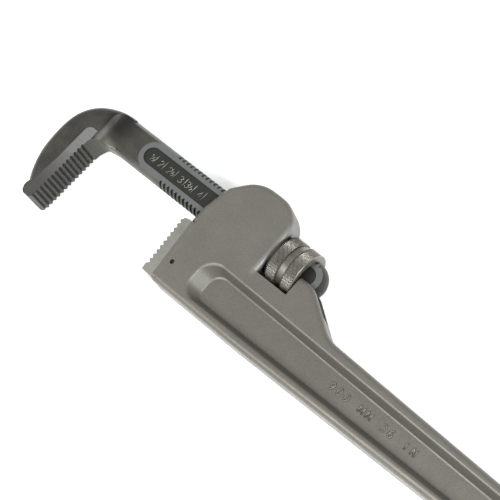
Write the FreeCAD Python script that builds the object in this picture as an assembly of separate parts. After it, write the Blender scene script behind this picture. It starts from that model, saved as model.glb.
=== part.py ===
import FreeCAD, Part

import math
import os

# Pipe wrench lying flat on its side.  Working frame, in millimetres: the jaw's
# shank runs along X with the handle's end at +X, +Y is the back of the wrench,
# +Z is the upper side, and 0, 0, 0 is the middle of the adjusting nut.  Every
# piece is moved at the end so that the origin is the bottom centre of the whole.

V = FreeCAD.Vector

# overall
LENGTH = 914.4
HOOK_CROWN_X = -291.3
HANDLE_END_X = HOOK_CROWN_X + LENGTH
GRIP_Y = -62.0

# thread of the shank and of the nut
PITCH = 5.3
SHANK_R = 19.05
ROOT_R = 17.5
GROOVE_TOP = 3.0
GROOVE_BOTTOM = 1.8
THREAD_GAP = 0.4
THREAD_START_X = -166.0

# adjusting nut
NUT_R = 25.4
NUT_HALF = 16.1
NUT_GROOVE_R = 23.7
NUT_GROOVE_HALF = 3.8

# shank and hook
SHANK_HALF_T = 11.0
NECK_HALF_T = 12.0
FORGED_HALF_T = 16.9
LAND_HALF_T = 17.75
TAIL_CENTRE_X = 17.35
PANEL_HALF_W = 9.3
PANEL_DEPTH = 1.2
PANEL_START_X = -188.5
CROWN_R = 11.0
THROAT_R = 13.0
THICK_END_X = -252.5
THIN_START_X = -239.8
NECK_START_X = -231.0

# teeth of both jaws
TOOTH_PITCH = 5.25
TOOTH_DEPTH = 2.3
TOOTH_FLAT = 0.5
HOOK_TEETH = 13
HOOK_TIP_Y = -109.2
HOOK_ROOT_TOOTH = (-251.6, -38.7)
HOOK_TIP_TOOTH = (-254.4, -101.7)
HEEL_TEETH = 10
HEEL_ROOT_TOOTH = (-114.9, -32.4)
HEEL_TIP_TOOTH = (-111.6, -79.65)
HEEL_HALF_T = 17.6

# cast handle and housing
BODY_HALF_T = 18.0
EDGE_R = 5.5
WINDOW_X0 = -20.0
WINDOW_X1 = 17.4
WINDOW_Y = -26.4
BACK_Y = 44.5
HEAD_TOP_X = -106.6
SHOULDER_X = -97.0
POCKET_X = (-68.0, 568.0)
POCKET_Y = (-86.0, -42.3)
PASSAGE_HALF_T = 12.3
SHANK_GAP = 1.35
SHANK_BACK_GAP = 0.5
JAW_ROCK_ROOM = 3.1
CHANNEL_END_X = 80.0
WEB_HALF_T = 5.0
RIM_R = 3.0
CORNER_R = 31.0
HANG_HOLE_R = 9.5
EYE_R = 21.0

# heel jaw's tongue and pin
TONGUE_BOTTOM_X = -82.0
TONGUE_HALF_T = 8.0
TONGUE_Y = (-86.0, -34.0)
PIN_R = 2.5
PIN_HALF_L = 14.0
PIN_X = -91.4
PIN_Y = -68.6

# springs in the housing's front wall
SPRING_X = -68.0
SPRING_BORE_R = 7.0
SPRING_BORE_Y = -41.0
COIL_R = 5.0
WIRE_R = 0.8
COIL_TURNS = 6
LEAF_X = (-92.0, -44.0)
LEAF_HALF_W = 8.0
LEAF_T = 1.2
LEAF_TOP_Y = -SHANK_R - 0.4
LEAF_BOW = 0.8
LEAF_ROOM_Y = -24.9


def rounded(corners, z=0.0):
    """Closed wire through corners (x, y, radius), each turned by a tangent arc."""
    count = len(corners)
    starts = []
    ends = []
    middles = []
    for i in range(count):
        x, y, radius = corners[i]
        here = V(x, y, z)
        back = V(corners[i - 1][0], corners[i - 1][1], z) - here
        ahead = V(corners[(i + 1) % count][0], corners[(i + 1) % count][1], z) - here
        back.normalize()
        ahead.normalize()
        half = back.getAngle(ahead) / 2
        reach = radius / math.tan(half)
        starts.append(here + back * reach)
        ends.append(here + ahead * reach)
        bisector = (back + ahead).normalize()
        middles.append(here + bisector * (radius / math.sin(half) - radius))
    edges = []
    for i in range(count):
        if corners[i][2] > 0:
            edges.append(Part.Arc(starts[i], middles[i], ends[i]).toShape())
        following = starts[(i + 1) % count]
        if (following - ends[i]).Length > 1e-6:
            edges.append(Part.makeLine(ends[i], following))
    return Part.Wire(edges)


def slab(corners, low, high):
    """Plate with a rounded outline, from z = low to z = high."""
    return Part.Face(rounded(corners, low)).extrude(V(0, 0, high - low))


def block(x, y, z):
    """Box from three (low, high) pairs."""
    return Part.makeBox(x[1] - x[0], y[1] - y[0], z[1] - z[0], V(x[0], y[0], z[0]))


def rod_z(x, y, radius, half):
    return Part.makeCylinder(radius, 2 * half, V(x, y, -half))


def rod_x(radius, x0, x1):
    return Part.makeCylinder(radius, x1 - x0, V(x0, 0, 0), V(1, 0, 0))


def rod_y(x, radius, y0, y1):
    return Part.makeCylinder(radius, y1 - y0, V(x, y0, 0), V(0, 1, 0))


def helical(profile, start_deg, turns):
    """Sweep (radius, offset) points round the X axis; +Y is angle 0 at x = 0."""
    helix = Part.makeHelix(PITCH, PITCH * turns, SHANK_R)
    section = Part.makePolygon([V(r, 0, a) for r, a in profile + profile[:1]])
    solid = Part.Wire(helix.Edges).makePipeShell([section], True, True)
    solid.rotate(V(0, 0, 0), V(0, 0, 1), start_deg)
    solid.translate(V(0, 0, PITCH * start_deg / 360))
    solid.rotate(V(0, 0, 0), V(1, 1, 1), 120)
    return solid


def tooth_cuts(root, tip, count, outward):
    """V grooves between teeth whose crests run from root to tip."""
    run = V(tip[0] - root[0], tip[1] - root[1], 0)
    step = run * (1.0 / (count - 1))
    along = V(step).normalize()
    depth = V(-outward, 0, 0) * TOOTH_DEPTH
    clear = V(outward, 0, 0) * 3.0
    half = (TOOTH_PITCH - TOOTH_FLAT) / 2
    spread = half * (1 + 3.0 / TOOTH_DEPTH)
    cuts = []
    for i in range(count + 1):
        middle = V(root[0], root[1], -BODY_HALF_T) + step * (i - 0.5)
        corners = [middle + depth, middle + clear + along * spread, middle + clear - along * spread]
        face = Part.Face(Part.makePolygon(corners + corners[:1]))
        cuts.append(face.extrude(V(0, 0, 2 * BODY_HALF_T)))
    return cuts


def stadium(x0, x1, half_width, low, high):
    return slab([(x0 - half_width, -half_width, half_width - 0.01),
                 (x1 + half_width, -half_width, half_width - 0.01),
                 (x1 + half_width, half_width, half_width - 0.01),
                 (x0 - half_width, half_width, half_width - 0.01)], low, high)


def shank():
    """Flat-sided bar, thicker at the neck, with thread on its front and back edges."""
    bar = rod_x(SHANK_R, NECK_START_X - 10.0, TAIL_CENTRE_X)
    bar = bar.fuse(Part.makeSphere(SHANK_R, V(TAIL_CENTRE_X, 0, 0)))
    neck = block((NECK_START_X - 10.0, PANEL_START_X), (-NUT_R, NUT_R), (-NECK_HALF_T, NECK_HALF_T))
    neck = neck.cut(rod_z(PANEL_START_X, 0, math.sqrt(SHANK_R ** 2 - SHANK_HALF_T ** 2), NUT_R))
    flats = block((NECK_START_X - 10.0, NUT_R * 2), (-NUT_R, NUT_R), (-SHANK_HALF_T, SHANK_HALF_T))
    bar = bar.common(flats.fuse(neck)).removeSplitter()
    flank = (GROOVE_TOP - GROOVE_BOTTOM) / (2 * (SHANK_R - ROOT_R))
    over = 1.2
    wide = GROOVE_TOP / 2 + flank * over
    low = GROOVE_BOTTOM / 2
    profile = [(ROOT_R, -low), (SHANK_R + over, -wide), (SHANK_R + over, wide), (ROOT_R, low)]
    groove = helical(profile, -45, 0.25)
    other = groove.copy()
    other.rotate(V(0, 0, 0), V(1, 0, 0), 180)
    cuts = []
    first = math.ceil(THREAD_START_X / PITCH)
    last = math.floor((TAIL_CENTRE_X + SHANK_R) / PITCH)
    for k in range(first, last + 1):
        cuts.append(groove.translated(V(k * PITCH, 0, 0)))
        cuts.append(other.translated(V((k + 0.5) * PITCH, 0, 0)))
    return bar.cut(cuts)


def hook_head():
    """Forged hook: crown, tip, throat and the thick jaw with its ground land."""
    throat_x = HOOK_ROOT_TOOTH[0] + THROAT_R
    back = V(NECK_START_X, SHANK_R, 0)
    crown = Part.BSplineCurve()
    crown.interpolate([back, V(-245.5, 18.0, 0), V(-259.0, 14.0, 0), V(-270.5, 8.0, 0), V(-279.9, -0.6, 0),
                       V(-286.6, -11.6, 0), V(-290.4, -25.6, 0), V(HOOK_CROWN_X, -42.0, 0), V(-290.0, -59.6, 0),
                       V(-285.6, -76.6, 0), V(-278.2, -92.2, 0), V(-271.6, -102.6, 0)])
    tip = [V(-271.6, -102.6, 0), V(-268.9, HOOK_TIP_Y + 2.0, 0), V(-265.6, HOOK_TIP_Y, 0),
           V(-258.6, HOOK_TIP_Y, 0)]
    jaw_tip = V(HOOK_TIP_TOOTH[0] - 0.25, HOOK_TIP_TOOTH[1] - 3.6, 0)
    jaw_root = V(HOOK_ROOT_TOOTH[0], -SHANK_R - THROAT_R, 0)
    throat_top = V(throat_x, -SHANK_R, 0)
    turn = THROAT_R * math.sqrt(0.5)
    throat_mid = V(throat_x - turn, -SHANK_R - THROAT_R + turn, 0)
    front = V(NECK_START_X + 6.0, -SHANK_R + 2.0, 0)
    edges = [crown.toShape()]
    edges += [Part.Arc(tip[0], tip[1], tip[2]).toShape(), Part.makeLine(tip[2], tip[3])]
    edges.append(Part.makeLine(tip[3], jaw_tip))
    edges += [Part.makeLine(jaw_tip, jaw_root), Part.Arc(jaw_root, throat_mid, throat_top).toShape()]
    edges += [Part.makeLine(throat_top, front), Part.makeLine(front, back)]
    outline = Part.Face(Part.Wire(edges))
    forged = outline.copy()
    forged.translate(V(0, 0, -FORGED_HALF_T))
    forged = forged.extrude(V(0, 0, 2 * FORGED_HALF_T))
    forged = forged.makeFillet(CROWN_R, [edge for edge in forged.Edges if on_crown(edge)])
    land_body = outline.copy()
    land_body.translate(V(0, 0, -LAND_HALF_T))
    land_body = land_body.extrude(V(0, 0, 2 * LAND_HALF_T))
    land = slab([(-250.0, -120.0, 0), (-273.0, -120.0, 0), (-268.0, -100.0, 30.0), (-264.0, -60.0, 40.0),
                 (-262.3, -15.2, 7.0), (-247.0, -15.2, 7.0), (-240.0, -45.0, 0)], -LAND_HALF_T, LAND_HALF_T)
    jaw = forged.fuse(land_body.common(land)).common(hook_sides())
    return jaw.cut(tooth_cuts(HOOK_ROOT_TOOTH, HOOK_TIP_TOOTH, HOOK_TEETH, 1))


def hook_sides():
    """Envelope that thins the thick jaw down to the neck in a smooth S on both sides."""
    thick = LAND_HALF_T + 0.1
    pull = (THIN_START_X - THICK_END_X) / 2
    far_x = HOOK_CROWN_X - 10
    near_x = PANEL_START_X
    edges = [Part.makeLine(V(far_x, 0, -thick), V(far_x, 0, thick)),
             Part.makeLine(V(near_x, 0, -NECK_HALF_T), V(near_x, 0, NECK_HALF_T))]
    for side in (1, -1):
        thick_end = V(THICK_END_X, 0, side * thick)
        thin_start = V(THIN_START_X, 0, side * NECK_HALF_T)
        curve = Part.BezierCurve()
        curve.setPoles([thick_end, thick_end + V(pull, 0, 0), thin_start - V(pull, 0, 0), thin_start])
        edges += [Part.makeLine(V(far_x, 0, side * thick), thick_end), curve.toShape(),
                  Part.makeLine(thin_start, V(near_x, 0, side * NECK_HALF_T))]
    envelope = Part.Face(Part.Wire(Part.__sortEdges__(edges))).extrude(V(0, BACK_Y - HOOK_TIP_Y, 0))
    envelope.translate(V(0, HOOK_TIP_Y, 0))
    return envelope


def on_crown(edge):
    """The two long rim edges of the forged blank that run round the crown."""
    box = edge.BoundBox
    return box.ZLength < 0.1 and box.XMin < HOOK_CROWN_X + 1 and box.YLength > NUT_R


def hook_jaw():
    body = hook_head().fuse(shank())
    panel = stadium(PANEL_START_X, TAIL_CENTRE_X, PANEL_HALF_W, 0, 5.0)
    floor_z = SHANK_HALF_T - PANEL_DEPTH
    body = body.cut([panel.translated(V(0, 0, floor_z)), panel.translated(V(0, 0, -floor_z - 5.0))])
    return body.removeSplitter()


def adjusting_nut():
    bore_r = ROOT_R + 0.45
    nut = rod_x(NUT_R, -NUT_HALF, NUT_HALF)
    nut = nut.makeChamfer(0.8, [e for e in nut.Edges if e.Curve.TypeId == "Part::GeomCircle"])
    ring = rod_x(NUT_R + 2, -NUT_GROOVE_HALF, NUT_GROOVE_HALF)
    ring = ring.cut(rod_x(NUT_GROOVE_R, -NUT_GROOVE_HALF, NUT_GROOVE_HALF))
    nut = nut.cut([ring, rod_x(bore_r, -20, 20)])
    ridge_top = PITCH - GROOVE_TOP
    ridge_base = PITCH - GROOVE_BOTTOM
    slope = (ridge_base - ridge_top) / (2 * (SHANK_R - ROOT_R))
    outer_r = SHANK_R + 0.5
    inner_r = bore_r - 0.6
    outer = ridge_top / 2 + THREAD_GAP - slope * (outer_r - SHANK_R)
    inner = ridge_base / 2 + THREAD_GAP - slope * (inner_r - ROOT_R)
    turns = 8
    profile = [(inner_r, -inner), (outer_r, -outer), (outer_r, outer), (inner_r, inner)]
    groove = helical(profile, -180 * turns, turns)
    return nut.cut(groove.translated(V(PITCH / 2, 0, 0)))


def pocket():
    """Drafted recess in one side of the handle, which leaves the I-beam's web."""
    top = BODY_HALF_T + 1.3
    outer = rounded([(-67.2, -42.4, 19.5), (-67.2, -85.2, 15.0), (566.0, -74.0, 9.0), (566.0, -50.0, 9.0)], top)
    floor = rounded([(-53.5, -47.4, 12.5), (-53.5, -79.2, 9.0), (556.0, -68.2, 4.0), (556.0, -54.6, 4.0)],
                    WEB_HALF_T)
    tool = Part.makeLoft([floor, outer], True, True)
    bottom = [e for e in tool.Edges if e.BoundBox.ZMax < WEB_HALF_T + 0.01]
    return tool.makeFillet(2.5, bottom)


def handle_outline():
    end = HANDLE_END_X
    return [(-98.3, -93.3, 3.0), (10.0, -92.9, 500.0), (560.0, GRIP_Y - 16.6, 60.0),
            (end - 21.0, GRIP_Y - 24.0, 21.0), (end, GRIP_Y - 18.0, 18.0), (end, GRIP_Y + 18.0, 18.0),
            (end - 21.0, GRIP_Y + 24.0, 21.0), (560.0, GRIP_Y + 16.6, 60.0),
            (76.5, -33.1, 32.0), (32.0, -4.0, 22.0), (WINDOW_X1, -4.0, 0.0), (WINDOW_X1, WINDOW_Y, 0.0),
            (WINDOW_X0, WINDOW_Y, 0.0), (WINDOW_X0, BACK_Y, CORNER_R), (-79.3, BACK_Y, 35.0),
            (-99.8, 21.0, 3.0), (-101.6, 14.0, 6.0), (HEAD_TOP_X, -8.0, 8.0), (HEAD_TOP_X, -26.6, 1.0),
            (-104.7, -26.7, 0.0)]


def lies_on_side(edge):
    """Edges in the plane of either side face."""
    box = edge.BoundBox
    return box.ZLength < 0.03 and abs(abs(box.Center.z) - BODY_HALF_T) < 0.02


def is_cast_round(edge):
    """Outline edges that the casting has rounded; the seats of nut and heel are machined sharp."""
    middle = edge.BoundBox.Center
    on_seat = WINDOW_X0 < middle.x < WINDOW_X1 + 0.1 and WINDOW_Y - 0.1 < middle.y < BACK_Y - 1
    return lies_on_side(edge) and not on_seat and middle.x > SHOULDER_X


def cast_blank():
    body = slab(handle_outline(), -BODY_HALF_T, BODY_HALF_T)
    body = body.makeFillet(EDGE_R, [edge for edge in body.Edges if is_cast_round(edge)])
    recess = pocket()
    body = body.cut([recess, recess.mirror(V(0, 0, 0), V(0, 0, 1))])
    rims = []
    for edge in body.Edges:
        box = edge.BoundBox
        along = POCKET_X[0] < box.XMin and box.XMax < POCKET_X[1]
        across = POCKET_Y[0] < box.YMin and box.YMax < POCKET_Y[1]
        if lies_on_side(edge) and along and across:
            rims.append(edge)
    return body.makeFillet(RIM_R, rims)


def handle():
    wall_x = HEAD_TOP_X - 5.0
    seat_x = WINDOW_X0 + 1.0
    front_y = -SHANK_R - SHANK_GAP
    back_y = SHANK_R + SHANK_BACK_GAP
    corners = [V(wall_x, front_y - JAW_ROCK_ROOM, 0), V(seat_x, front_y, 0),
               V(seat_x, back_y, 0), V(wall_x, back_y, 0)]
    passage = Part.Face(Part.makePolygon(corners + corners[:1])).extrude(V(0, 0, 2 * PASSAGE_HALF_T))
    passage.translate(V(0, 0, -PASSAGE_HALF_T))
    channel = block((WINDOW_X1 - 2.0, CHANNEL_END_X), (front_y, 40.0), (-PASSAGE_HALF_T, PASSAGE_HALF_T))
    leaf_room = block((LEAF_X[0] - 2.0, LEAF_X[1] + 2.0), (LEAF_ROOM_Y, 0.0), (-LEAF_HALF_W - 0.6, LEAF_HALF_W + 0.6))
    coil_room = rod_y(SPRING_X, SPRING_BORE_R, SPRING_BORE_Y, 0.0)
    tongue_room = block((-110.0, TONGUE_BOTTOM_X), TONGUE_Y, (-TONGUE_HALF_T, TONGUE_HALF_T))
    pin_hole = rod_z(PIN_X, PIN_Y, PIN_R, 30.0)
    hang_hole = rod_z(HANDLE_END_X - EYE_R, GRIP_Y, HANG_HOLE_R, 30.0)
    return cast_blank().cut([passage, channel, leaf_room, coil_room, tongue_room, pin_hole, hang_hole])


def heel_jaw():
    seat_front = (-98.3 - 0.19, -91.6)
    seat_back = (-104.7, -27.0)
    body = slab([(seat_front[0], seat_front[1], 0), (-110.9, -91.6, 0.6), (HEEL_TIP_TOOTH[0], -86.8, 0.6),
                 (HEEL_TIP_TOOTH[0], -82.3, 0), (HEEL_ROOT_TOOTH[0], -29.5, 1.0), (-108.6, -27.0, 1.0),
                 (seat_back[0], seat_back[1], 0)], -HEEL_HALF_T, HEEL_HALF_T)
    tongue = block((-106.0, TONGUE_BOTTOM_X), TONGUE_Y, (-TONGUE_HALF_T, TONGUE_HALF_T))
    body = body.fuse(tongue).cut(rod_z(PIN_X, PIN_Y, PIN_R, 30.0))
    return body.cut(tooth_cuts(HEEL_ROOT_TOOTH, HEEL_TIP_TOOTH, HEEL_TEETH, -1)).removeSplitter()


def heel_jaw_pin():
    pin = rod_z(PIN_X, PIN_Y, PIN_R, PIN_HALF_L)
    return pin.makeChamfer(0.5, [e for e in pin.Edges if e.BoundBox.ZLength < 0.01])


def leaf_arc(offset):
    middle_x = (LEAF_X[0] + LEAF_X[1]) / 2
    y = LEAF_TOP_Y - offset
    return [V(LEAF_X[0], y - LEAF_BOW, 0), V(middle_x, y, 0), V(LEAF_X[1], y - LEAF_BOW, 0)]


def flat_spring():
    near = leaf_arc(0)
    far = leaf_arc(LEAF_T)
    wire = Part.Wire([Part.Arc(*near).toShape(), Part.makeLine(near[2], far[2]),
                      Part.Arc(*far).toShape(), Part.makeLine(far[0], near[0])])
    leaf = Part.Face(wire).extrude(V(0, 0, 2 * LEAF_HALF_W))
    leaf.translate(V(0, 0, -LEAF_HALF_W))
    return leaf.cut(rod_y(SPRING_X, 2.5, -30, 0))


def spring_rivet():
    shoulder_y = LEAF_TOP_Y - LEAF_T - 0.1
    stem = rod_y(SPRING_X, 3.4, shoulder_y - 9.0, shoulder_y)
    return stem.fuse(rod_y(SPRING_X, 2.5, shoulder_y - 1.0, LEAF_TOP_Y - 0.05)).removeSplitter()


def coil_spring():
    length = LEAF_TOP_Y - LEAF_T - SPRING_BORE_Y - 2 * WIRE_R - 0.8
    pitch = length / COIL_TURNS
    helix = Part.makeHelix(pitch, length, COIL_R)
    ring = Part.Wire(Part.makeCircle(WIRE_R, V(COIL_R, 0, 0), V(0, COIL_R * 2 * math.pi, pitch)))
    coil = Part.Wire(helix.Edges).makePipeShell([ring], True, True)
    coil.rotate(V(0, 0, 0), V(1, 0, 0), -90)
    coil.translate(V(SPRING_X, SPRING_BORE_Y + WIRE_R + 0.1, 0))
    return coil


def main():
    os.makedirs("parts", exist_ok=True)
    nodes = {"handle": handle(), "hook_jaw": hook_jaw(), "heel_jaw": heel_jaw(),
             "heel_jaw_pin": heel_jaw_pin(), "adjusting_nut": adjusting_nut(),
             "flat_spring": flat_spring(), "spring_rivet": spring_rivet(), "coil_spring": coil_spring()}
    whole = Part.makeCompound(list(nodes.values())).optimalBoundingBox()
    origin = V(whole.Center.x, whole.Center.y, whole.ZMin)
    print("origin in the working frame:", origin, "size:", whole.XLength, whole.YLength, whole.ZLength)
    for name, shape in nodes.items():
        shape.translate(-origin)
        print(name, shape.ShapeType, len(shape.Solids), round(shape.Volume), shape.isValid())
        shape.exportStep("parts/" + name + ".step")


main()
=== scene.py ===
import math

import bmesh
import bpy
import numpy as np
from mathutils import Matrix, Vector


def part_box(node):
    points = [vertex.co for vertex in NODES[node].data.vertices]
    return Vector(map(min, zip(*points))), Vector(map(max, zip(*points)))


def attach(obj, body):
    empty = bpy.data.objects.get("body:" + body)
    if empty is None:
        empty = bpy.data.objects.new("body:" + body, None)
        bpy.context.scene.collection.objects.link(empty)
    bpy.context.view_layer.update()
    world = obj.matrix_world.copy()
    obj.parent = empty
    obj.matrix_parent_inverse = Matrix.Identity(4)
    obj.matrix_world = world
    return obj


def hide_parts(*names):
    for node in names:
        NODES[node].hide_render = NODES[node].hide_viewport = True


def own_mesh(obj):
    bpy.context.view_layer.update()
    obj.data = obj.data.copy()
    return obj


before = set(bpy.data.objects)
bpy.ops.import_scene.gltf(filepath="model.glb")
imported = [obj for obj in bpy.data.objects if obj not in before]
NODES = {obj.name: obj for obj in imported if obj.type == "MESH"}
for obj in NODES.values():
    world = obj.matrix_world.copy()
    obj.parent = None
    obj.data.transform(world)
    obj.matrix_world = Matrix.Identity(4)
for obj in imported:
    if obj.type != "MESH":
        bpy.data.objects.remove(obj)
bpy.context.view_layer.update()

# Pipe wrench lying on its side.  Places are in millimetres from the middle of the
# adjusting nut: +X runs down the handle, +Y is the wrench's back, +Z its upper side.

MM = 0.001
NUT_LOW, NUT_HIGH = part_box("adjusting_nut")
NUT_MIDDLE = (NUT_LOW + NUT_HIGH) / 2
NUT_R = (NUT_HIGH.z - NUT_LOW.z) / 2 / MM
NUT_HALF = (NUT_HIGH.x - NUT_LOW.x) / 2 / MM
BODY_HALF_T = (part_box("handle")[1].z - NUT_MIDDLE.z) / MM
LAND_HALF_T = (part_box("hook_jaw")[1].z - NUT_MIDDLE.z) / MM

# shank and hook, as drawn
SHANK_R = 19.05
ROOT_R = 17.5
GROUND_HALF_T = 11.0
PANEL_DEPTH = 1.2
PANEL_FLOOR = GROUND_HALF_T - PANEL_DEPTH
THREAD_START_X = -166.0
NECK_BEND = (-260.0, -248.0, -238.0, -214.0)
THROAT_X = (-244.0, -237.0)
TOOTH_ROOT_X = -260.0
TOOTH_TIP_X = -256.5

# handle's nut window and web, as drawn
WINDOW_X0 = -20.0
WINDOW_X1 = 17.4
WEB_HALF_T = 5.0
LEGEND_Y = -62.5


def at(x, y, z):
    """A point in metres from millimetres beside the nut's middle."""
    return NUT_MIDDLE + Vector((x, y, z)) * MM


def srgb(red, green, blue):
    """Linear colour of a paint chip given on the 0 to 255 scale."""
    def linear(value):
        value /= 255
        return value / 12.92 if value <= 0.04045 else ((value + 0.055) / 1.055) ** 2.4
    return (linear(red), linear(green), linear(blue), 1.0)


# ---------------------------------------------------------------- node helpers

class Graph:
    """Adds nodes to a material or a group and wires them from left to right."""

    def __init__(self, tree):
        self.tree = tree
        self.count = 0

    def node(self, kind, **settings):
        made = self.tree.nodes.new(kind)
        made.location = (180 * (self.count % 8) - 1400, -220 * (self.count // 8))
        self.count += 1
        for name, value in settings.items():
            setattr(made, name, value)
        return made

    def feed(self, socket, value):
        if isinstance(value, bpy.types.NodeSocket):
            self.tree.links.new(value, socket)
        else:
            socket.default_value = value

    def math(self, operation, first, second=0.0, clamp=False):
        made = self.node("ShaderNodeMath", operation=operation, use_clamp=clamp)
        self.feed(made.inputs[0], first)
        self.feed(made.inputs[1], second)
        return made.outputs[0]

    def ramp(self, value, low, high, to_low=0.0, to_high=1.0):
        """Smooth step: value from low to high gives to_low to to_high."""
        made = self.node("ShaderNodeMapRange", interpolation_type="SMOOTHSTEP")
        for name, number in (("Value", value), ("From Min", low), ("From Max", high),
                             ("To Min", to_low), ("To Max", to_high)):
            self.feed(made.inputs[name], number)
        return made.outputs["Result"]

    def mix(self, share, first, second, blend="MIX"):
        made = self.node("ShaderNodeMix", data_type="RGBA", blend_type=blend)
        self.feed(made.inputs[0], share)
        self.feed(made.inputs[6], first)
        self.feed(made.inputs[7], second)
        return made.outputs[2]

    def noise(self, place, scale, detail=3.0, roughness=0.55, stretch=None):
        if stretch is not None:
            squeeze = self.node("ShaderNodeMapping")
            self.feed(squeeze.inputs["Vector"], place)
            squeeze.inputs["Scale"].default_value = stretch
            place = squeeze.outputs[0]
        made = self.node("ShaderNodeTexNoise")
        self.feed(made.inputs["Vector"], place)
        self.feed(made.inputs["Scale"], scale)
        made.inputs["Detail"].default_value = detail
        made.inputs["Roughness"].default_value = roughness
        return made.outputs["Fac"]


def new_group(name, inputs, outputs):
    """Empty node group with named sockets; returns its graph, inputs and the output node."""
    tree = bpy.data.node_groups.new(name, "ShaderNodeTree")
    kinds = {"value": "NodeSocketFloat", "colour": "NodeSocketColor", "vector": "NodeSocketVector"}
    for label, kind, default in inputs:
        socket = tree.interface.new_socket(name=label, in_out="INPUT", socket_type=kinds[kind])
        if default is not None:
            socket.default_value = default
    for label, kind in outputs:
        tree.interface.new_socket(name=label, in_out="OUTPUT", socket_type=kinds[kind])
    graph = Graph(tree)
    entry = graph.node("NodeGroupInput")
    leave = graph.node("NodeGroupOutput")
    return tree, graph, entry.outputs, leave.inputs


# ---------------------------------------------------------------- shared effects

def make_edge_wear_sheen_shade():
    """Masks of rubbed outer edges, which also serve as a painted highlight, and of painted shade in inner
    corners and deep cavities.
    """
    tree, g, given, out = new_group(
        "edge_wear_sheen_shade",
        [("Edge Radius", "value", 0.0008), ("Dirt Reach", "value", 0.004), ("Breakup", "value", 300.0)],
        [("Edge", "value"), ("Corner Shade", "value"), ("Deep Shade", "value")])
    place = g.node("ShaderNodeTexCoord").outputs["Object"]
    true = g.node("ShaderNodeNewGeometry").outputs["Normal"]
    bevel = g.node("ShaderNodeBevel", samples=6)
    g.feed(bevel.inputs["Radius"], given["Edge Radius"])
    dot = g.node("ShaderNodeVectorMath", operation="DOT_PRODUCT")
    g.feed(dot.inputs[0], true)
    g.feed(dot.inputs[1], bevel.outputs[0])
    bend = g.ramp(dot.outputs["Value"], 0.99, 0.80)
    shade = g.node("ShaderNodeAmbientOcclusion", samples=8)
    g.feed(shade.inputs["Distance"], given["Dirt Reach"])
    closed = g.math("SUBTRACT", 1.0, shade.outputs["AO"])
    patchy = g.ramp(g.noise(place, given["Breakup"], 2.0), 0.36, 0.62, 0.35, 1.0)
    outer = g.ramp(closed, 0.30, 0.12)
    g.feed(out["Edge"], g.math("MULTIPLY", g.math("MULTIPLY", bend, outer), patchy))
    g.feed(out["Corner Shade"], g.math("MULTIPLY", g.ramp(closed, 0.18, 0.75), patchy))
    g.feed(out["Deep Shade"], g.ramp(closed, 0.45, 0.85))
    return tree


def make_metal_skin():
    """Broad mottling, fine grain and small pits for a cast or forged surface."""
    tree, g, given, out = new_group(
        "metal_skin",
        [("Light Tone", "colour", (0.5, 0.5, 0.5, 1)), ("Dark Tone", "colour", (0.4, 0.4, 0.4, 1)),
         ("Mottle Scale", "value", 14.0), ("Grain Scale", "value", 900.0), ("Pit Scale", "value", 260.0)],
        [("Color", "colour"), ("Height", "value"), ("Gloss", "value")])
    place = g.node("ShaderNodeTexCoord").outputs["Object"]
    broad = g.noise(place, given["Mottle Scale"], 4.0, 0.6)
    grain = g.noise(place, given["Grain Scale"], 2.0, 0.6)
    cells = g.node("ShaderNodeTexVoronoi")
    g.feed(cells.inputs["Vector"], place)
    g.feed(cells.inputs["Scale"], given["Pit Scale"])
    wanted = g.ramp(g.noise(place, 70.0, 2.0), 0.52, 0.66)
    pit = g.math("MULTIPLY", g.ramp(cells.outputs["Distance"], 0.24, 0.06), wanted)
    tone = g.mix(g.ramp(broad, 0.34, 0.66), given["Dark Tone"], given["Light Tone"])
    speck = g.ramp(grain, 0.30, 0.70, 0.88, 1.12)
    speck = g.math("SUBTRACT", speck, g.math("MULTIPLY", pit, 0.10))
    scaled = g.node("ShaderNodeVectorMath", operation="SCALE")
    g.feed(scaled.inputs[0], tone)
    g.feed(scaled.inputs["Scale"], speck)
    g.feed(out["Color"], scaled.outputs[0])
    g.feed(out["Height"], g.math("SUBTRACT", grain, g.math("MULTIPLY", pit, 1.2)))
    g.feed(out["Gloss"], g.ramp(g.noise(place, 45.0, 3.0), 0.3, 0.7, -0.05, 0.05))
    return tree


def make_side_mask():
    """1 on faces that look straight up or down within a band of distance from the mid plane."""
    tree, g, given, out = new_group(
        "side_mask",
        [("Nearest", "value", 0.0), ("Farthest", "value", 1.0), ("Mid Plane", "value", NUT_MIDDLE.z)],
        [("Mask", "value")])
    place = g.node("ShaderNodeSeparateXYZ")
    g.feed(place.inputs[0], g.node("ShaderNodeTexCoord").outputs["Object"])
    facing = g.node("ShaderNodeSeparateXYZ")
    g.feed(facing.inputs[0], g.node("ShaderNodeTexCoord").outputs["Normal"])
    away = g.math("ABSOLUTE", g.math("SUBTRACT", place.outputs["Z"], given["Mid Plane"]))
    inside = g.math("MULTIPLY", g.math("GREATER_THAN", away, given["Nearest"]),
                    g.math("LESS_THAN", away, given["Farthest"]))
    flat = g.math("GREATER_THAN", g.math("ABSOLUTE", facing.outputs["Z"]), 0.97)
    g.feed(out["Mask"], g.math("MULTIPLY", inside, flat))
    return tree


def make_shank_radius():
    """Millimetres from the shank's own axis, along it and across it from the nut's middle."""
    tree, g, _, out = new_group(
        "shank_radius", [], [("Radius", "value"), ("Along", "value"), ("Across", "value")])
    shift = g.node("ShaderNodeVectorMath", operation="SUBTRACT")
    g.feed(shift.inputs[0], g.node("ShaderNodeTexCoord").outputs["Object"])
    shift.inputs[1].default_value = NUT_MIDDLE
    parts = g.node("ShaderNodeSeparateXYZ")
    g.feed(parts.inputs[0], shift.outputs[0])
    square = g.math("ADD", g.math("MULTIPLY", parts.outputs["Y"], parts.outputs["Y"]),
                    g.math("MULTIPLY", parts.outputs["Z"], parts.outputs["Z"]))
    g.feed(out["Radius"], g.math("DIVIDE", g.math("SQRT", square), MM))
    g.feed(out["Along"], g.math("DIVIDE", parts.outputs["X"], MM))
    g.feed(out["Across"], g.math("DIVIDE", parts.outputs["Y"], MM))
    return tree


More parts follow.
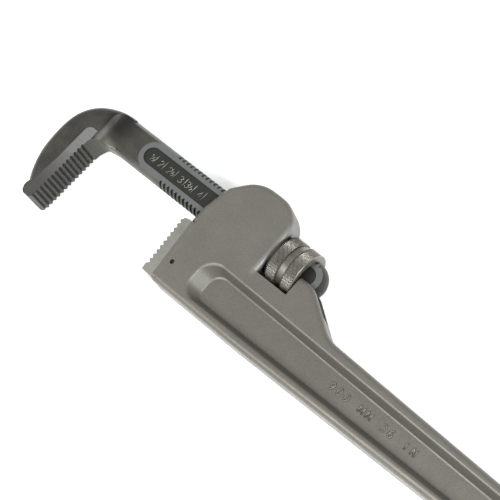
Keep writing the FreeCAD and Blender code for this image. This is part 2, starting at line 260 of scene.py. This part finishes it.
EDGE_WEAR_SHEEN_SHADE = make_edge_wear_sheen_shade()
METAL_SKIN = make_metal_skin()
SIDE_MASK = make_side_mask()
SHANK_RADIUS = make_shank_radius()


# ---------------------------------------------------------------- finishes

def use(graph, group, **values):
    made = graph.node("ShaderNodeGroup", node_tree=group)
    for label, value in values.items():
        graph.feed(made.inputs[label.replace("_", " ")], value)
    return made.outputs


def new_finish(name, metallic, roughness, specular=0.5):
    """Material with a Principled shader; returns it, its graph and the shader's inputs."""
    finish = bpy.data.materials.new(name)
    finish.use_nodes = True
    finish.node_tree.nodes.clear()
    graph = Graph(finish.node_tree)
    shader = graph.node("ShaderNodeBsdfPrincipled")
    surface = graph.node("ShaderNodeOutputMaterial")
    finish.node_tree.links.new(shader.outputs[0], surface.inputs[0])
    shader.inputs["Metallic"].default_value = metallic
    shader.inputs["Roughness"].default_value = roughness
    shader.inputs["Specular IOR Level"].default_value = specular
    return finish, graph, shader.inputs


def relief(graph, sockets, height, depth):
    """Bump of a height map, depth in metres."""
    bump = graph.node("ShaderNodeBump")
    bump.inputs["Strength"].default_value = 1.0
    bump.inputs["Distance"].default_value = depth
    graph.feed(bump.inputs["Height"], height)
    graph.feed(sockets["Normal"], bump.outputs[0])


def cast_aluminium_finish():
    finish, g, shader = new_finish("cast_aluminium", 0.45, 0.4)
    skin = use(g, METAL_SKIN, Light_Tone=srgb(110, 107, 101), Dark_Tone=srgb(104, 101, 95),
               Mottle_Scale=9.0, Grain_Scale=1100.0, Pit_Scale=240.0)
    wear_sheen_shade = use(g, EDGE_WEAR_SHEEN_SHADE, Edge_Radius=0.0007, Dirt_Reach=0.005, Breakup=120.0)
    # rubbed edges lightened, partly as a painted highlight, and painted shade darkening inner corners
    colour = g.mix(g.math("MULTIPLY", wear_sheen_shade["Edge"], 0.4), skin["Color"], srgb(160, 157, 149))
    colour = g.mix(g.math("MULTIPLY", wear_sheen_shade["Corner Shade"], 0.3), colour, srgb(70, 68, 62))
    # painted shade darkens deep corners, most of all inside the nut's window, and a painted highlight
    # lightens the rounding beside it
    cavity_shade = use(g, EDGE_WEAR_SHEEN_SHADE, Edge_Radius=0.0007, Dirt_Reach=0.022, Breakup=120.0)["Deep Shade"]
    spot = use(g, SHANK_RADIUS)
    in_window = g.math("MULTIPLY", g.ramp(spot["Along"], WINDOW_X0 - 1.0, WINDOW_X0 - 0.2),
                       g.ramp(spot["Along"], WINDOW_X1 + 1.5, WINDOW_X1 + 0.5))
    cavity_shade = g.math("MULTIPLY", cavity_shade, g.math("ADD", 0.6, g.math("MULTIPLY", in_window, 0.35)))
    shoulder_highlight = g.math("MULTIPLY", g.ramp(spot["Along"], WINDOW_X0 - 7.0, WINDOW_X0 - 4.0),
                         g.ramp(spot["Along"], WINDOW_X0 + 0.3, WINDOW_X0 - 1.0))
    shoulder_highlight = g.math("MULTIPLY", shoulder_highlight, g.ramp(spot["Across"], -34.0, -27.0))
    colour = g.mix(g.math("MULTIPLY", shoulder_highlight, 0.45), colour, srgb(138, 140, 139))
    colour = g.mix(cavity_shade, colour, srgb(24, 23, 21))
    g.feed(shader["Base Color"], colour)
    rough = g.math("ADD", g.math("ADD", skin["Gloss"], 0.42), g.math("MULTIPLY", wear_sheen_shade["Corner Shade"], 0.25))
    g.feed(shader["Roughness"], rough)
    relief(g, shader, skin["Height"], 0.00006)
    return finish


def forged_steel_finish():
    """Dark forging with bright ground lands, a blackened panel and painted shade in the thread roots."""
    finish, g, shader = new_finish("forged_steel", 0.6, 0.4)
    skin = use(g, METAL_SKIN, Light_Tone=srgb(80, 78, 73), Dark_Tone=srgb(61, 60, 56),
               Mottle_Scale=22.0, Grain_Scale=700.0, Pit_Scale=200.0)
    wear_sheen_shade = use(g, EDGE_WEAR_SHEEN_SHADE, Edge_Radius=0.0009, Dirt_Reach=0.004, Breakup=160.0)
    place = g.node("ShaderNodeTexCoord").outputs["Object"]
    lines = g.noise(place, 60.0, 3.0, 0.6, stretch=(1.0, 12.0, 1.0))
    shank = use(g, SHANK_RADIUS)
    ground_tone = g.mix(g.ramp(lines, 0.3, 0.7), srgb(128, 129, 129), srgb(140, 140, 139))
    ground_tone = g.mix(g.ramp(shank["Radius"], 30.0, 96.0), ground_tone, srgb(84, 82, 81))
    land = use(g, SIDE_MASK, Nearest=(LAND_HALF_T - 0.3) * MM, Farthest=(LAND_HALF_T + 1.0) * MM)["Mask"]
    side = use(g, SIDE_MASK, Nearest=(GROUND_HALF_T - 0.1) * MM, Farthest=(GROUND_HALF_T + 0.1) * MM)["Mask"]
    panel = use(g, SIDE_MASK, Nearest=(PANEL_FLOOR - 0.1) * MM, Farthest=(PANEL_FLOOR + 0.1) * MM)["Mask"]
    ground = g.math("MAXIMUM", land, side)
    ground_tone = g.mix(side, ground_tone, srgb(112, 115, 114))
    threaded = g.math("GREATER_THAN", shank["Along"], THREAD_START_X - 6.0)
    on_crest = g.math("MULTIPLY", threaded, g.math("SUBTRACT", 1.0, g.math("MAXIMUM", ground, panel)))
    root_shade = g.math("MULTIPLY", g.ramp(shank["Radius"], SHANK_R - 0.3, ROOT_R + 0.3), on_crest)
    # painted shade darkens the neck's bend along its back and a painted highlight lightens it towards the
    # throat
    bend = g.math("MULTIPLY", g.ramp(shank["Along"], NECK_BEND[0], NECK_BEND[1]),
                  g.ramp(shank["Along"], NECK_BEND[3], NECK_BEND[2]))
    bend_shade = g.math("MULTIPLY", bend, g.ramp(shank["Across"], -14.0, 0.0))
    bend_highlight = g.math("MULTIPLY", bend, g.ramp(shank["Across"], -10.0, -18.0))
    bend_highlight = g.math("MULTIPLY", bend_highlight, g.ramp(shank["Along"], *THROAT_X))
    colour = g.mix(g.math("MULTIPLY", bend_shade, 0.8), skin["Color"], srgb(30, 29, 28))
    colour = g.mix(g.math("MULTIPLY", bend_highlight, 0.6), colour, srgb(140, 133, 120))
    # rubbed edges lightened, partly as a painted highlight, less on the threads
    worn_edge_highlight = g.math("MULTIPLY", wear_sheen_shade["Edge"], g.math("SUBTRACT", 0.6, g.math("MULTIPLY", threaded, 0.35)))
    colour = g.mix(worn_edge_highlight, colour, srgb(160, 154, 142))
    # painted shade over the tooth faces
    bite_shade = g.math("MULTIPLY", g.ramp(shank["Along"], TOOTH_ROOT_X, TOOTH_TIP_X),
                     g.ramp(shank["Across"], -18.0, -24.0))
    colour = g.mix(g.math("MULTIPLY", bite_shade, 0.7), colour, srgb(50, 50, 46))
    colour = g.mix(ground, colour, ground_tone)
    colour = g.mix(panel, colour, srgb(52, 52, 49))
    colour = g.mix(g.math("MULTIPLY", on_crest, 0.35), colour, srgb(52, 51, 48))
    # painted shade in the thread roots
    colour = g.mix(g.math("MULTIPLY", root_shade, 0.8), colour, srgb(34, 33, 31))
    # painted shade in inner corners
    colour = g.mix(g.math("MULTIPLY", wear_sheen_shade["Corner Shade"], 0.5), colour, srgb(30, 29, 27))
    g.feed(shader["Base Color"], colour)
    rough = g.math("ADD", g.math("ADD", skin["Gloss"], 0.42), g.math("MULTIPLY", ground, -0.06))
    g.feed(shader["Roughness"], rough)
    height = g.math("MULTIPLY", skin["Height"], g.math("SUBTRACT", 1.0, g.math("MULTIPLY", ground, 0.8)))
    height = g.math("ADD", height, g.math("MULTIPLY", g.math("MULTIPLY", lines, ground), 0.25))
    relief(g, shader, height, 0.00009)
    return finish


def heel_steel_finish():
    finish, g, shader = new_finish("heel_steel", 0.45, 0.45)
    skin = use(g, METAL_SKIN, Light_Tone=srgb(137, 137, 130), Dark_Tone=srgb(124, 124, 117),
               Mottle_Scale=40.0, Grain_Scale=1200.0, Pit_Scale=420.0)
    wear_sheen_shade = use(g, EDGE_WEAR_SHEEN_SHADE, Edge_Radius=0.0005, Dirt_Reach=0.003, Breakup=200.0)
    # rubbed edges lightened, partly as a painted highlight, and light painted shade in inner corners
    colour = g.mix(g.math("MULTIPLY", wear_sheen_shade["Edge"], 0.5), skin["Color"], srgb(205, 203, 190))
    colour = g.mix(g.math("MULTIPLY", wear_sheen_shade["Corner Shade"], 0.12), colour, srgb(80, 80, 74))
    g.feed(shader["Base Color"], colour)
    g.feed(shader["Roughness"], g.math("ADD", skin["Gloss"], 0.46))
    relief(g, shader, skin["Height"], 0.00004)
    return finish


def nut_steel_finish():
    """Machined steel: painted highlight on the knurl tips over painted shade in the grooves, turned end
    faces.
    """
    finish, g, shader = new_finish("nut_steel", 0.75, 0.34)
    skin = use(g, METAL_SKIN, Light_Tone=srgb(128, 125, 118), Dark_Tone=srgb(102, 100, 94),
               Mottle_Scale=60.0, Grain_Scale=1500.0, Pit_Scale=500.0)
    wear_sheen_shade = use(g, EDGE_WEAR_SHEEN_SHADE, Edge_Radius=0.0005, Dirt_Reach=0.0015, Breakup=260.0)
    shank = use(g, SHANK_RADIUS)
    tip_highlight = g.ramp(shank["Radius"], NUT_R - KNURL_DEPTH * 0.7, NUT_R - KNURL_DEPTH * 0.1)
    valley_shade = g.ramp(shank["Radius"], NUT_R - KNURL_DEPTH * 0.6, NUT_R - KNURL_DEPTH)
    on_band = g.math("GREATER_THAN", g.math("ABSOLUTE", shank["Along"]), GROOVE_HALF)
    on_band = g.math("MULTIPLY", on_band, g.math("GREATER_THAN", shank["Radius"], NUT_R - KNURL_DEPTH * 1.1))
    rings = g.noise(g.node("ShaderNodeTexCoord").outputs["Object"], 90.0, 2.0, 0.5, stretch=(40.0, 1.0, 1.0))
    # painted highlight on the knurl tips and painted shade in the knurl grooves
    colour = g.mix(g.math("MULTIPLY", tip_highlight, 0.8), skin["Color"], srgb(186, 180, 168))
    colour = g.mix(g.math("MULTIPLY", g.math("MULTIPLY", valley_shade, on_band), 0.85), colour, srgb(34, 32, 30))
    # rubbed edges lightened, partly as a painted highlight, and painted shade in inner corners
    colour = g.mix(g.math("MULTIPLY", wear_sheen_shade["Edge"], 0.5), colour, srgb(220, 216, 206))
    colour = g.mix(g.math("MULTIPLY", wear_sheen_shade["Corner Shade"], 0.75), colour, srgb(38, 36, 33))
    g.feed(shader["Base Color"], colour)
    g.feed(shader["Roughness"], g.math("ADD", skin["Gloss"], 0.34))
    relief(g, shader, g.math("ADD", g.math("MULTIPLY", skin["Height"], 0.5), rings), 0.00003)
    return finish


def plain_steel_finish(name, light, dark, roughness):
    finish, g, shader = new_finish(name, 0.8, roughness)
    skin = use(g, METAL_SKIN, Light_Tone=light, Dark_Tone=dark, Mottle_Scale=80.0, Grain_Scale=1600.0,
               Pit_Scale=600.0)
    wear_sheen_shade = use(g, EDGE_WEAR_SHEEN_SHADE, Edge_Radius=0.0003, Dirt_Reach=0.002, Breakup=300.0)
    # painted shade in inner corners, and rubbed edges lightened, partly as a painted highlight
    colour = g.mix(g.math("MULTIPLY", wear_sheen_shade["Corner Shade"], 0.7), skin["Color"], srgb(28, 27, 25))
    colour = g.mix(g.math("MULTIPLY", wear_sheen_shade["Edge"], 0.5), colour, srgb(170, 168, 160))
    g.feed(shader["Base Color"], colour)
    g.feed(shader["Roughness"], g.math("ADD", skin["Gloss"], roughness))
    relief(g, shader, skin["Height"], 0.00003)
    return finish


def mark_finish(name, foot, foot_tone, light, dark):
    """Raised strokes, lighter on top and dark down their sides; foot is the floor they stand on. The pipe
    scale's tops are rubbed bright; on the cast letters the dark sides and lighter tops are painted shade and
    painted light.
    """
    finish, g, shader = new_finish(name, 0.6, 0.4)
    place = g.node("ShaderNodeSeparateXYZ")
    g.feed(place.inputs[0], g.node("ShaderNodeTexCoord").outputs["Object"])
    away = g.math("ABSOLUTE", g.math("SUBTRACT", place.outputs["Z"], NUT_MIDDLE.z))
    top = g.ramp(away, foot * MM, (foot + 0.35) * MM)
    skin = use(g, METAL_SKIN, Light_Tone=light, Dark_Tone=dark, Mottle_Scale=220.0, Grain_Scale=1500.0,
               Pit_Scale=700.0)
    g.feed(shader["Base Color"], g.mix(top, foot_tone, skin["Color"]))
    g.feed(shader["Roughness"], g.math("ADD", skin["Gloss"], 0.4))
    relief(g, shader, skin["Height"], 0.00003)
    return finish


def floor_finish():
    finish, g, shader = new_finish("studio_paper", 0.0, 0.85, 0.1)
    place = g.node("ShaderNodeTexCoord").outputs["Object"]
    fleck = g.ramp(g.noise(place, 30.0, 3.0), 0.3, 0.7)
    paper = g.mix(fleck, (0.93, 0.93, 0.93, 1), (0.95, 0.95, 0.95, 1))
    g.feed(shader["Base Color"], paper)
    g.feed(shader["Emission Color"], paper)
    shader["Emission Strength"].default_value = 0.35
    return finish


# ---------------------------------------------------------------- mesh helpers

def add_piece(name, points, faces, finish, body, slot, smooth=True):
    """Mesh piece in the row's frame, riding on a body; points are in metres."""
    mesh = bpy.data.meshes.new(name)
    mesh.from_pydata([tuple(p) for p in points], [], faces)
    mesh.materials.append(finish)
    mesh.polygons.foreach_set("use_smooth", [smooth] * len(mesh.polygons))
    mesh.update()
    piece = bpy.data.objects.new(name, mesh)
    bpy.context.scene.collection.objects.link(piece)
    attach(piece, body)
    return piece


# ---------------------------------------------------------------- heel seat's edge

SEAT_FRONT = Vector((-98.3, -93.3))
SEAT_BACK = Vector((-104.7, -26.9))
EDGE_ROUND = 5.5
SEAT_FILL = 5.2


def seat_edge(side):
    """Squares the casting's edge along the heel jaw's seat, down to the rounding of its front end."""
    along = (SEAT_BACK - SEAT_FRONT).normalized()
    inward = Vector((along.y, -along.x))
    length = (SEAT_BACK - SEAT_FRONT).length
    stops = [1.2 + 0.43 * i for i in range(11)] + [length]
    foot = BODY_HALF_T - EDGE_ROUND - 0.2
    points = []
    faces = []
    for run in stops:
        short = max(0.0, EDGE_ROUND - run)
        top = BODY_HALF_T - EDGE_ROUND + math.sqrt(EDGE_ROUND ** 2 - short ** 2)
        for across, height in ((0.02, foot), (0.02, top), (SEAT_FILL, top)):
            spot = SEAT_FRONT + along * run + inward * across
            points.append(at(spot.x, spot.y, side * height))
    last = 3 * (len(stops) - 1)
    for start in range(0, last, 3):
        for k in range(3):
            after = (k + 1) % 3
            faces.append((start + k, start + after, start + 3 + after, start + 3 + k))
    faces += [(2, 1, 0), (last, last + 1, last + 2)]
    if side < 0:
        faces = [tuple(reversed(face)) for face in faces]
    return points, faces


# ---------------------------------------------------------------- knurled nut

KNURL_DEPTH = 0.6
KNURL_COUNT = 88
KNURL_ROWS = 14
BAND_EDGE = 0.8
GROOVE_HALF = 3.8


def knurl_band(x0, x1):
    """Grid of diamond points between two planes across the nut's axis, with plain end circles."""
    points = []
    faces = []
    columns = 2 * KNURL_COUNT
    for row in range(KNURL_ROWS + 1):
        x = x0 + (x1 - x0) * row / KNURL_ROWS
        for column in range(columns):
            at_end = row in (0, KNURL_ROWS)
            low = (row + column) % 2 == 0 or at_end
            radius = NUT_R - (KNURL_DEPTH if low else 0.0)
            angle = math.tau * column / columns
            points.append(at(x, radius * math.cos(angle), radius * math.sin(angle)))
    for row in range(KNURL_ROWS):
        for column in range(columns):
            after = (column + 1) % columns
            a = row * columns + column
            b = row * columns + after
            c = (row + 1) * columns + after
            d = (row + 1) * columns + column
            if (row + column) % 2 == 0:
                faces += [(a, b, c), (a, c, d)]
            else:
                faces += [(a, b, d), (b, c, d)]
    return points, faces


def knurled_nut(finish):
    """The nut with its two plain bands cut away and knurled ones in their place."""
    mesh = NODES["adjusting_nut"].data.copy()
    mesh.name = "knurled_nut"
    shape = bmesh.new()
    shape.from_mesh(mesh)
    bands = []
    for face in shape.faces:
        middle = (face.calc_center_median() - NUT_MIDDLE) / MM
        sunk = math.hypot(middle.y, middle.z)
        across = abs(face.normal.x) < 0.1
        corners = [(v.co - NUT_MIDDLE) / MM for v in face.verts]
        outer = all(math.hypot(corner.y, corner.z) > NUT_R - 0.1 for corner in corners)
        if across and outer and sunk > NUT_R - 0.2:
            bands.append(face)
    bmesh.ops.delete(shape, geom=bands, context="FACES")
    for x0, x1 in ((-NUT_HALF + BAND_EDGE, -GROOVE_HALF), (GROOVE_HALF, NUT_HALF - BAND_EDGE)):
        points, faces = knurl_band(x0, x1)
        made = [shape.verts.new(p) for p in points]
        for face in faces:
            shape.faces.new([made[i] for i in face])
    bmesh.ops.recalc_face_normals(shape, faces=shape.faces)
    shape.to_mesh(mesh)
    shape.free()
    mesh.materials.clear()
    mesh.materials.append(finish)
    piece = bpy.data.objects.new("knurled_nut", mesh)
    bpy.context.scene.collection.objects.link(piece)
    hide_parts("adjusting_nut")
    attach(piece, "nut")
    return piece


# ---------------------------------------------------------------- coil spring


def squashed_coil(finish):
    """The coil spring, copied as its own piece with the spring finish and attached to the body."""
    mesh = NODES["coil_spring"].data.copy()
    mesh.name = "coil_spring_wire"
    mesh.materials.clear()
    mesh.materials.append(finish)
    piece = bpy.data.objects.new("coil_spring_wire", mesh)
    bpy.context.scene.collection.objects.link(piece)
    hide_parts("coil_spring")
    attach(piece, "body")
    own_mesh(piece)


# ---------------------------------------------------------------- raised marks

# Strokes in a cell 1 high; each is a run of points, and curved ones are arcs.


def arc(x, y, radius_x, radius_y, start, end, steps=10):
    """Points along part of an ellipse, angles in degrees."""
    found = []
    for i in range(steps + 1):
        angle = math.radians(start + (end - start) * i / steps)
        found.append((x + radius_x * math.cos(angle), y + radius_y * math.sin(angle)))
    return found


GLYPHS = {
    "0": [arc(0.3, 0.5, 0.26, 0.48, 90, 450, 24)],
    "1": [[(0.12, 0.8), (0.3, 0.98), (0.3, 0.02)]],
    "2": [arc(0.3, 0.72, 0.25, 0.26, 165, -35) + [(0.06, 0.02), (0.56, 0.02)]],
    "3": [arc(0.29, 0.74, 0.24, 0.24, 150, -85), arc(0.29, 0.27, 0.27, 0.26, 80, -150)],
    "4": [[(0.42, 0.02), (0.42, 0.98), (0.04, 0.3), (0.6, 0.3)]],
    "6": [[(0.46, 0.97)] + arc(0.46, 0.35, 0.42, 0.62, 95, 175), arc(0.3, 0.29, 0.25, 0.28, 0, 360, 20)],
    "9": [[(0.14, 0.03)] + arc(0.14, 0.65, 0.42, 0.62, -85, -5), arc(0.3, 0.71, 0.25, 0.28, 0, 360, 20)],
    "M": [[(0.02, 0.02), (0.02, 0.98)], [(0.02, 0.98), (0.34, 0.2)], [(0.34, 0.2), (0.66, 0.98)],
          [(0.66, 0.98), (0.66, 0.02)]],
    "I": [[(0.3, 0.02), (0.3, 0.98)]],
    "N": [[(0.04, 0.02), (0.04, 0.98)], [(0.04, 0.98), (0.58, 0.02)], [(0.58, 0.02), (0.58, 0.98)]],
    "/": [[(0.1, 0.05), (0.5, 0.95)]],
    "|": [[(0.0, 0.0), (0.08, 1.0)]],
}


def stroke_ridge(path, half_width, height, base_z, side):
    """Rounded ridge along a path on a floor; side is 1 above the mid plane, -1 below."""
    section = [(-1.0, -0.15), (-0.86, 0.45), (-0.5, 0.86), (0.0, 1.0),
               (0.5, 0.86), (0.86, 0.45), (1.0, -0.15)]
    count = len(section)
    closed = len(path) > 2 and math.dist(path[0], path[-1]) < 1e-6
    if closed:
        path = path[:-1]
    points = []
    for i, (x, y) in enumerate(path):
        before = path[i - 1] if i > 0 or closed else path[i]
        after = path[(i + 1) % len(path)] if i + 1 < len(path) or closed else path[i]
        first = Vector((x - before[0], y - before[1]))
        second = Vector((after[0] - x, after[1] - y))
        if first.length < 1e-9:
            first = second.copy()
        if second.length < 1e-9:
            second = first.copy()
        way = (first.normalized() + second.normalized()).normalized()
        stretch = min(1.6, 1 / max(0.3, way.dot(first.normalized())))
        across = Vector((-way.y, way.x)) * stretch
        for u, v in section:
            reach = across * u * half_width
            points.append(at(x + reach.x, y + reach.y, side * (base_z + v * height)))
    faces = []
    spans = len(path) if closed else len(path) - 1
    for i in range(spans):
        j = (i + 1) % len(path)
        for k in range(count - 1):
            faces.append((i * count + k, i * count + k + 1, j * count + k + 1, j * count + k))
        faces.append((i * count + count - 1, i * count, j * count, j * count + count - 1))
    if not closed:
        faces.append(tuple(range(count)))
        faces.append(tuple(reversed(range((len(path) - 1) * count, len(path) * count))))
    if side < 0:
        faces = [tuple(reversed(face)) for face in faces]
    return points, faces


def lettering(words, half_width, height, base_z, side, middle_y):
    """Points and faces of several glyphs; each word is (text, x, y, size, spacing, slant)."""
    points = []
    faces = []
    for text, x, y, size, spacing, slant in words:
        for index, letter in enumerate(text):
            for stroke in GLYPHS.get(letter, []):
                path = []
                for u, v in stroke:
                    px = x + index * spacing + (u + slant * v) * size
                    py = y + v * size
                    path.append((px, middle_y + side * (py - middle_y)))
                more, their = stroke_ridge(path, half_width, height, base_z, side)
                start = len(points)
                points += more
                faces += [tuple(start + k for k in face) for face in their]
    return points, faces


def add_lettering(name, words, half_width, height, base_z, side, middle_y, finish, body, slot):
    points, faces = lettering(words, half_width, height, base_z, side, middle_y)
    return add_piece(name, points, faces, finish, body, slot)


# Pipe sizes on the shank: place of the tick, the numeral left of it, its place and the half's.
SCALE = ((-183.6, "1", -191.0, -188.6), (-171.6, "2", -178.4, None), (-156.0, "2", -166.4, -161.6),
         (-142.4, "3", -150.6, None), (-130.3, "3", -141.0, -136.2), (-116.9, "4", -123.8, None))
TICK = (-5.3, 10.0)
NUMERAL = (-4.6, 7.5)
HALF_SIZE = 3.4


def scale_words():
    words = []
    for tick_x, numeral, numeral_x, half_x in SCALE:
        words.append(("|", tick_x - 0.4, *TICK, 1.0, 0.04))
        words.append((numeral, numeral_x, *NUMERAL, 1.0, 0.1))
        if half_x is not None:
            words.append(("1", half_x - 0.4, -0.6, HALF_SIZE, 1.0, 0.1))
            words.append(("/", half_x, -3.4, HALF_SIZE * 1.5, 1.0, 0.1))
            words.append(("2", half_x + 2.0, -4.5, HALF_SIZE, 1.0, 0.1))
    return words


# ---------------------------------------------------------------- put together

cast_aluminium = cast_aluminium_finish()
forged_steel = forged_steel_finish()
heel_steel = heel_steel_finish()
nut_steel = nut_steel_finish()
pin_steel = plain_steel_finish("pin_steel", srgb(120, 118, 112), srgb(80, 79, 75), 0.4)
spring_steel = plain_steel_finish("spring_steel", srgb(70, 72, 78), srgb(44, 46, 52), 0.32)
rubbed_marks = mark_finish("rubbed_marks", PANEL_FLOOR, srgb(60, 59, 56), srgb(150, 147, 139),
                           srgb(110, 108, 101))
# the cast letters' dark sides are painted shade and their lighter tops painted light
cast_letters = mark_finish("cast_letters", WEB_HALF_T + 0.3, srgb(72, 70, 65), srgb(124, 121, 114),
                           srgb(108, 105, 99))

NODE_FINISH = {"handle": cast_aluminium, "hook_jaw": forged_steel, "heel_jaw": heel_steel,
               "heel_jaw_pin": pin_steel, "spring_rivet": pin_steel, "flat_spring": spring_steel,
               "coil_spring": spring_steel}
for node_name, node_finish in NODE_FINISH.items():
    for holder in NODES[node_name].material_slots:
        holder.material = node_finish

knurled_nut(nut_steel)
squashed_coil(spring_steel)

for side, suffix in ((1, "upper"), (-1, "under")):
    add_piece("seat_edge_" + suffix, *seat_edge(side), cast_aluminium, "body", "cast_aluminium", smooth=False)
    add_lettering("pipe_scale_" + suffix, scale_words(), 0.46, 0.7, PANEL_FLOOR, side, 0.0,
                  rubbed_marks, "hook", "forged_steel")
    add_lettering("size_legend_" + suffix, [("900 MM 36 IN", 101.0, -66.3, 7.5, 8.6, 0.1)],
                  0.8, 1.2, WEB_HALF_T, side, LEGEND_Y, cast_letters, "body", "cast_aluminium")


# ---------------------------------------------------------------- studio

def studio_floor():
    half = 6.0
    mesh = bpy.data.meshes.new("studio_floor")
    corners = [(-half, -half, 0), (half, -half, 0), (half, half, 0), (-half, half, 0)]
    mesh.from_pydata(corners, [], [(0, 1, 2, 3)])
    mesh.materials.append(floor_finish())
    floor = bpy.data.objects.new("studio_floor", mesh)
    bpy.context.scene.collection.objects.link(floor)


def softbox(name, place, aim, size, energy, colour):
    lamp = bpy.data.lights.new(name, "AREA")
    lamp.shape = "RECTANGLE"
    lamp.size, lamp.size_y = size
    lamp.energy = energy
    lamp.color = colour
    holder = bpy.data.objects.new(name, lamp)
    holder.location = place
    holder.rotation_euler = (Vector(aim) - Vector(place)).to_track_quat("-Z", "Y").to_euler()
    bpy.context.scene.collection.objects.link(holder)


def studio_lights():
    world = bpy.data.worlds.new("studio_air")
    world.use_nodes = True
    background = world.node_tree.nodes["Background"]
    background.inputs["Color"].default_value = (1.0, 1.0, 1.0, 1)
    background.inputs["Strength"].default_value = 0.66
    bpy.context.scene.world = world
    middle = at(-60, -30, 0)
    softbox("front_softbox", at(-40, -1000, 1400), middle, (1.5, 0.8), 26.0, (1.0, 0.98, 0.95))
    softbox("end_softbox", at(1700, -50, 1450), middle, (1.0, 0.7), 36.0, (0.92, 0.98, 1.0))


def studio_camera():
    lens = bpy.data.cameras.new("viewer")
    lens.lens = 98.09
    lens.sensor_width = 36.0
    lens.clip_end = 30.0
    camera = bpy.data.objects.new("viewer", lens)
    camera.location = at(490.85, -177.98, 1151.41)
    camera.rotation_euler = [math.radians(a) for a in (22.3613, 13.7724, 42.7838)]
    bpy.context.scene.collection.objects.link(camera)
    bpy.context.scene.camera = camera


studio_floor()
studio_lights()
studio_camera()
bpy.context.scene.view_settings.view_transform = "Standard"

bpy.context.view_layer.update()
